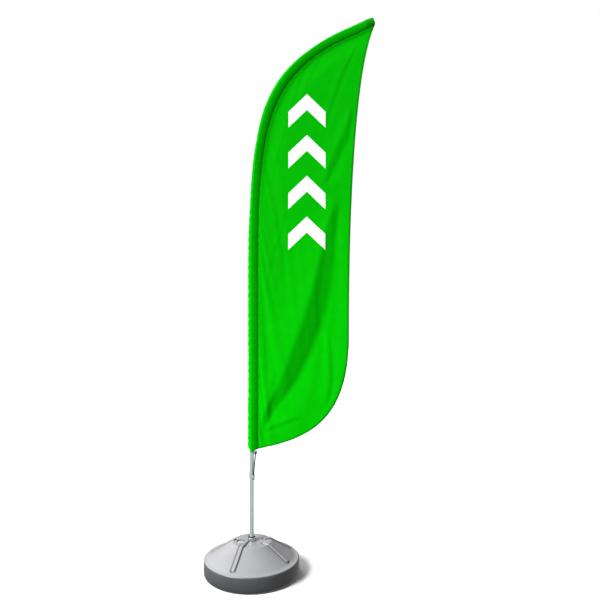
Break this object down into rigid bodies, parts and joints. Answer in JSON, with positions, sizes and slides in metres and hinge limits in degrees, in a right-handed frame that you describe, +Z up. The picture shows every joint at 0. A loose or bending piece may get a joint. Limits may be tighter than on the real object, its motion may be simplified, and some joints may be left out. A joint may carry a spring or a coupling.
{
  "type": "feather flag",
  "caption": "Free-standing feather flag: a green cloth on a bent sectional pole that turns on a spindle in a round water-filled base.",
  "frame": {"origin": "centre of the base's underside, on the pole's axis", "axes": "+Z up along the pole, +X the way the flag flies, the cloth lies in the XZ plane"},
  "size_m": [0.8512, 0.4704, 2.7435],
  "materials": {
    "tank_plastic": "blow-moulded, fine satin texture",
    "cap_plastic": "injection-moulded, satin",
    "rubber": "matt moulded",
    "zinc_steel": "zinc-plated, satin",
    "bearing_steel": "ground and polished",
    "brass": "pressed cage, satin",
    "spring_steel": "blackened",
    "bush_plastic": "turned nylon",
    "aluminium_tube": "satin anodised, pale",
    "fibreglass": "pultruded, satin",
    "sleeve_fabric": "knitted polyester, dyed",
    "flag_fabric": "knitted polyester, dyed and printed",
    "pocket_webbing": "woven webbing",
    "tab_webbing": "woven webbing",
    "eyelet_nickel": "nickel-plated, rolled",
    "elastic_cord": "braided over elastic",
    "bead_plastic": "moulded",
    "clip_plastic": "moulded, pale"
  },
  "bodies": {
    "base": {"base_tank": "tank_plastic"},
    "filler_seal": {"filler_gasket": "rubber"},
    "filler_plug": {"filler_cap": "cap_plastic"},
    "spindle_unit": {"spindle_housing": "zinc_steel", "lower_bush": "bush_plastic", "bearing_outer_race": "bearing_steel", "housing_circlip": "spring_steel"},
    "ball_cage": {"bearing_ball_cage": "brass"},
    "rotor": {"spindle_shaft": "zinc_steel", "bearing_inner_race": "bearing_steel", "shaft_locknut": "zinc_steel"},
    "pole_lower": {"pole_section_1": "aluminium_tube"},
    "pole_middle": {"pole_section_2": "aluminium_tube", "joint_ferrule_1": "zinc_steel"},
    "flag_upper": {"pole_section_3": "aluminium_tube", "joint_ferrule_2": "zinc_steel", "section_3_end_ring": "zinc_steel", "pole_tip_rod": "fibreglass", "pole_tip_cap": "rubber", "pole_sleeve": "sleeve_fabric", "tip_pocket": "pocket_webbing", "flag_panel": "flag_fabric", "corner_tab": "tab_webbing", "corner_eyelet": "eyelet_nickel", "tension_cord": "elastic_cord", "cord_bead_upper": "bead_plastic", "cord_bead_lower": "bead_plastic", "pole_clip": "clip_plastic"}
  },
  "joints": [
    {"name": "cap_lift", "type": "slide", "parent": "base", "child": "filler_seal", "axis": [0, 0, 1], "range_m": [0, 0.0141]},
    {"name": "cap_turn", "type": "hinge", "parent": "filler_seal", "child": "filler_plug", "pos_m": [-0.0537, -0.00564, 0.1505], "axis": [0, 0, 1], "range_deg": [0, 1260]},
    {"name": "spindle_lift", "type": "slide", "parent": "base", "child": "spindle_unit", "axis": [0, 0, 1], "range_m": [0, 0.15]},
    {"name": "cage_roll", "type": "hinge", "parent": "spindle_unit", "child": "ball_cage", "pos_m": [0, 0, 0.142], "axis": [0, 0, 1], "continuous": true},
    {"name": "pole_spin", "type": "hinge", "parent": "spindle_unit", "child": "rotor", "pos_m": [0, 0, 0.1], "axis": [0, 0, 1], "continuous": true},
    {"name": "pole_lift", "type": "slide", "parent": "rotor", "child": "pole_lower", "axis": [0, 0, 1], "range_m": [0, 0.18]},
    {"name": "section_2_pull", "type": "slide", "parent": "pole_lower", "child": "pole_middle", "axis": [0, 0, 1], "range_m": [0, 0.06]},
    {"name": "section_3_pull", "type": "slide", "parent": "pole_middle", "child": "flag_upper", "axis": [0, 0, 1], "range_m": [0, 0.06]}
  ],
  "couplings": [
    {"joint": "cap_lift", "follows": "cap_turn", "m_per_rad": 0.00063662},
    {"joint": "cage_roll", "follows": "pole_spin", "ratio": 0.384}
  ]
}
